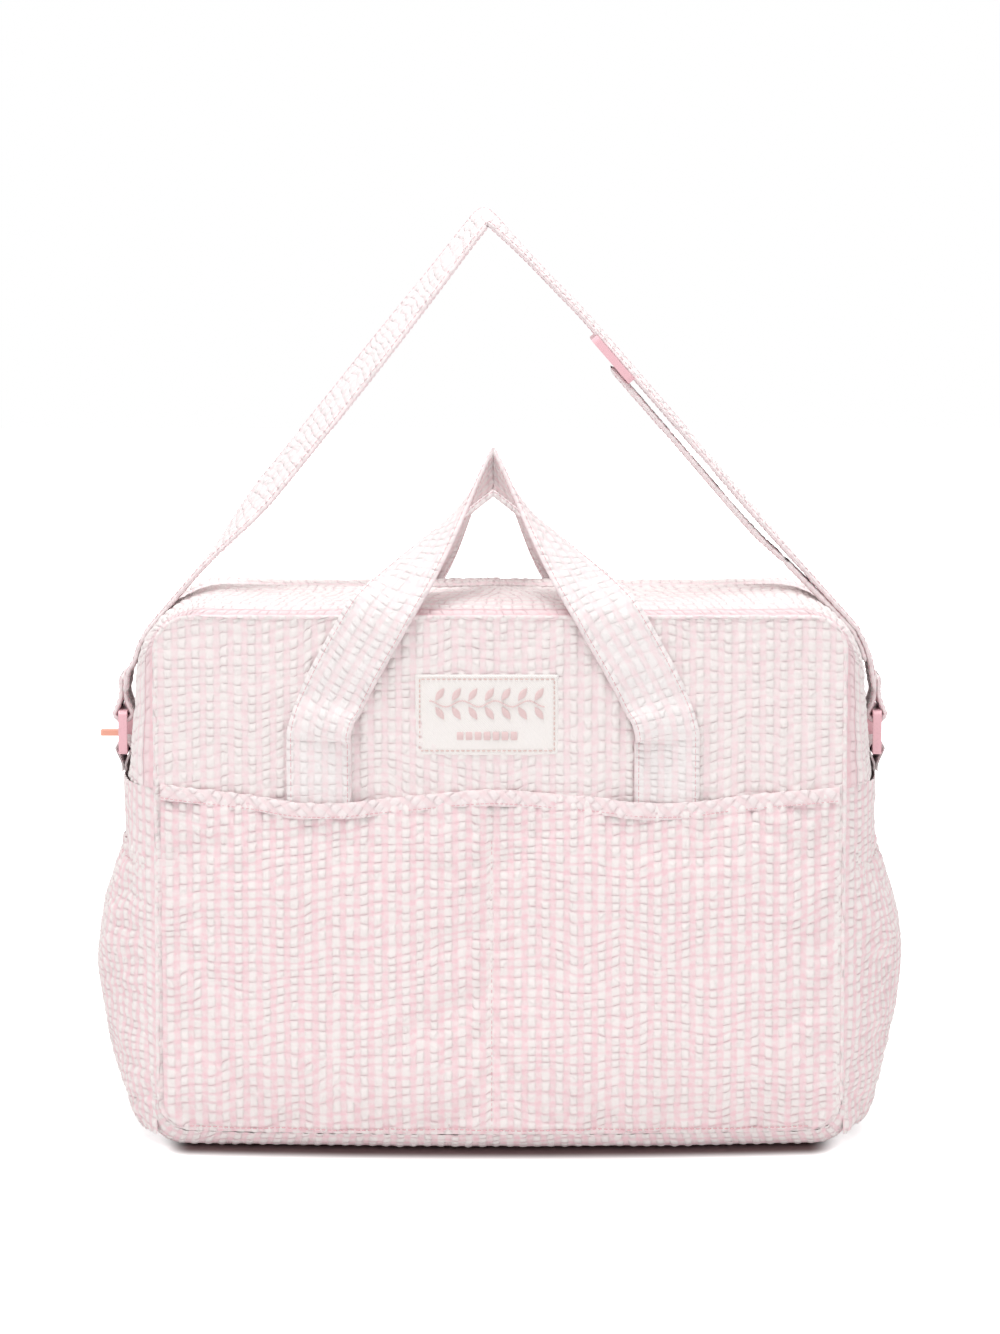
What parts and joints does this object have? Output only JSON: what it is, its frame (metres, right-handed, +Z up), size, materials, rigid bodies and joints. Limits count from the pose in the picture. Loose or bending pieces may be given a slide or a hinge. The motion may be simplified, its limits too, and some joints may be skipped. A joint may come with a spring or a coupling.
{
  "type": "diaper bag",
  "caption": "Soft zip-top bag with a front pocket, side pockets with gathered hems, two strap handles and a shoulder strap on side rings.",
  "frame": {"origin": "centre of the base, on the surface the bag stands on", "axes": "+X to the bag's right as seen from the front, -Y out of the front face, +Z up"},
  "size_m": [0.4813, 0.191, 0.5432],
  "materials": {
    "striped": "puckered woven cotton with narrow pale pink stripes",
    "lining": "plain woven lining",
    "foam": "soft foam padding",
    "board": "matt stiff sheet",
    "label": "cream twill with a stitched edge",
    "zip": "woven zip tape with a nylon coil",
    "elastic": "ribbed elastic band",
    "pink_plastic": "satin moulded plastic",
    "slider": "pale enamelled metal",
    "peach": "satin moulded pull"
  },
  "bodies": {
    "bag_body": {"base_board": "board", "base_lining": "lining", "base_panel": "striped", "front_foam": "foam", "front_handle_ends": "striped", "front_lining": "lining", "front_panel": "striped", "front_pocket": "striped", "front_pocket_binding": "striped", "front_top_rim": "striped", "inner_pocket": "lining", "label_patch": "label", "left_gusset_front": "striped", "left_gusset_rear": "striped", "left_pocket_elastic": "elastic", "left_ring_tab": "striped", "left_side_foam": "foam", "left_side_lining": "lining", "left_side_panel": "striped", "left_side_pocket": "striped", "left_side_zip": "zip", "left_strap_riser": "striped", "rear_foam": "foam", "rear_handle_ends": "striped", "rear_lining": "lining", "rear_panel": "striped", "rear_top_rim": "striped", "right_gusset_front": "striped", "right_gusset_rear": "striped", "right_pocket_elastic": "elastic", "right_ring_tab": "striped", "right_side_foam": "foam", "right_side_lining": "lining", "right_side_panel": "striped", "right_side_pocket": "striped", "right_side_zip": "zip", "right_strap_riser": "striped", "zip_corner_tapes": "zip", "zip_end_tabs": "striped"},
    "front_flap": {"front_flap": "striped", "front_flap_lining": "lining", "front_zip_half": "zip"},
    "rear_flap": {"rear_flap": "striped", "rear_flap_lining": "lining", "rear_zip_half": "zip"},
    "front_handle": {"front_handle": "striped"},
    "rear_handle": {"rear_handle": "striped"},
    "shoulder_strap": {"shoulder_strap": "striped", "strap_return": "striped"},
    "strap_adjuster": {"strap_adjuster": "pink_plastic"},
    "left_ring": {"left_ring": "pink_plastic", "left_strap_end": "striped"},
    "right_ring": {"right_ring": "pink_plastic", "right_strap_end": "striped"},
    "zip_slider": {"zip_slider": "slider"},
    "zip_pull": {"zip_pull_link": "slider", "zip_pull_tab": "peach"}
  },
  "joints": [
    {"name": "front_handle_fold", "type": "hinge", "parent": "bag_body", "child": "front_handle", "pos_m": [0, -0.0871, 0.245], "axis": [1, 0, 0], "range_deg": [0, 145]},
    {"name": "rear_handle_fold", "type": "hinge", "parent": "bag_body", "child": "rear_handle", "pos_m": [0, 0.0871, 0.245], "axis": [-1, 0, 0], "range_deg": [0, 145]},
    {"name": "shoulder_strap_swing", "type": "hinge", "parent": "bag_body", "child": "shoulder_strap", "pos_m": [0, -0.01, 0.324], "axis": [1, 0, 0], "range_deg": [-32, 32]},
    {"name": "adjuster_slide", "type": "slide", "parent": "shoulder_strap", "child": "strap_adjuster", "axis": [0.6566, 0, -0.7542], "range_m": [0, 0.09]},
    {"name": "front_flap_open", "type": "hinge", "parent": "bag_body", "child": "front_flap", "pos_m": [0, -0.0755, 0.3095], "axis": [-1, 0, 0], "range_deg": [0, 88]},
    {"name": "rear_flap_open", "type": "hinge", "parent": "bag_body", "child": "rear_flap", "pos_m": [0, 0.0755, 0.3095], "axis": [1, 0, 0], "range_deg": [0, 88]},
    {"name": "left_ring_tilt", "type": "hinge", "parent": "bag_body", "child": "left_ring", "pos_m": [-0.2235, -0.01, 0.228], "axis": [0, -1, 0], "range_deg": [0, 25]},
    {"name": "right_ring_tilt", "type": "hinge", "parent": "bag_body", "child": "right_ring", "pos_m": [0.2235, -0.01, 0.228], "axis": [0, 1, 0], "range_deg": [0, 25]},
    {"name": "zip_slide", "type": "slide", "parent": "bag_body", "child": "zip_slider", "axis": [0, 0, 1], "range_m": [0, 0.03]},
    {"name": "zip_pull_tilt", "type": "hinge", "parent": "zip_slider", "child": "zip_pull", "pos_m": [-0.2203, 0.02, 0.232], "axis": [0, 1, 0], "range_deg": [-65, 85]}
  ]
}
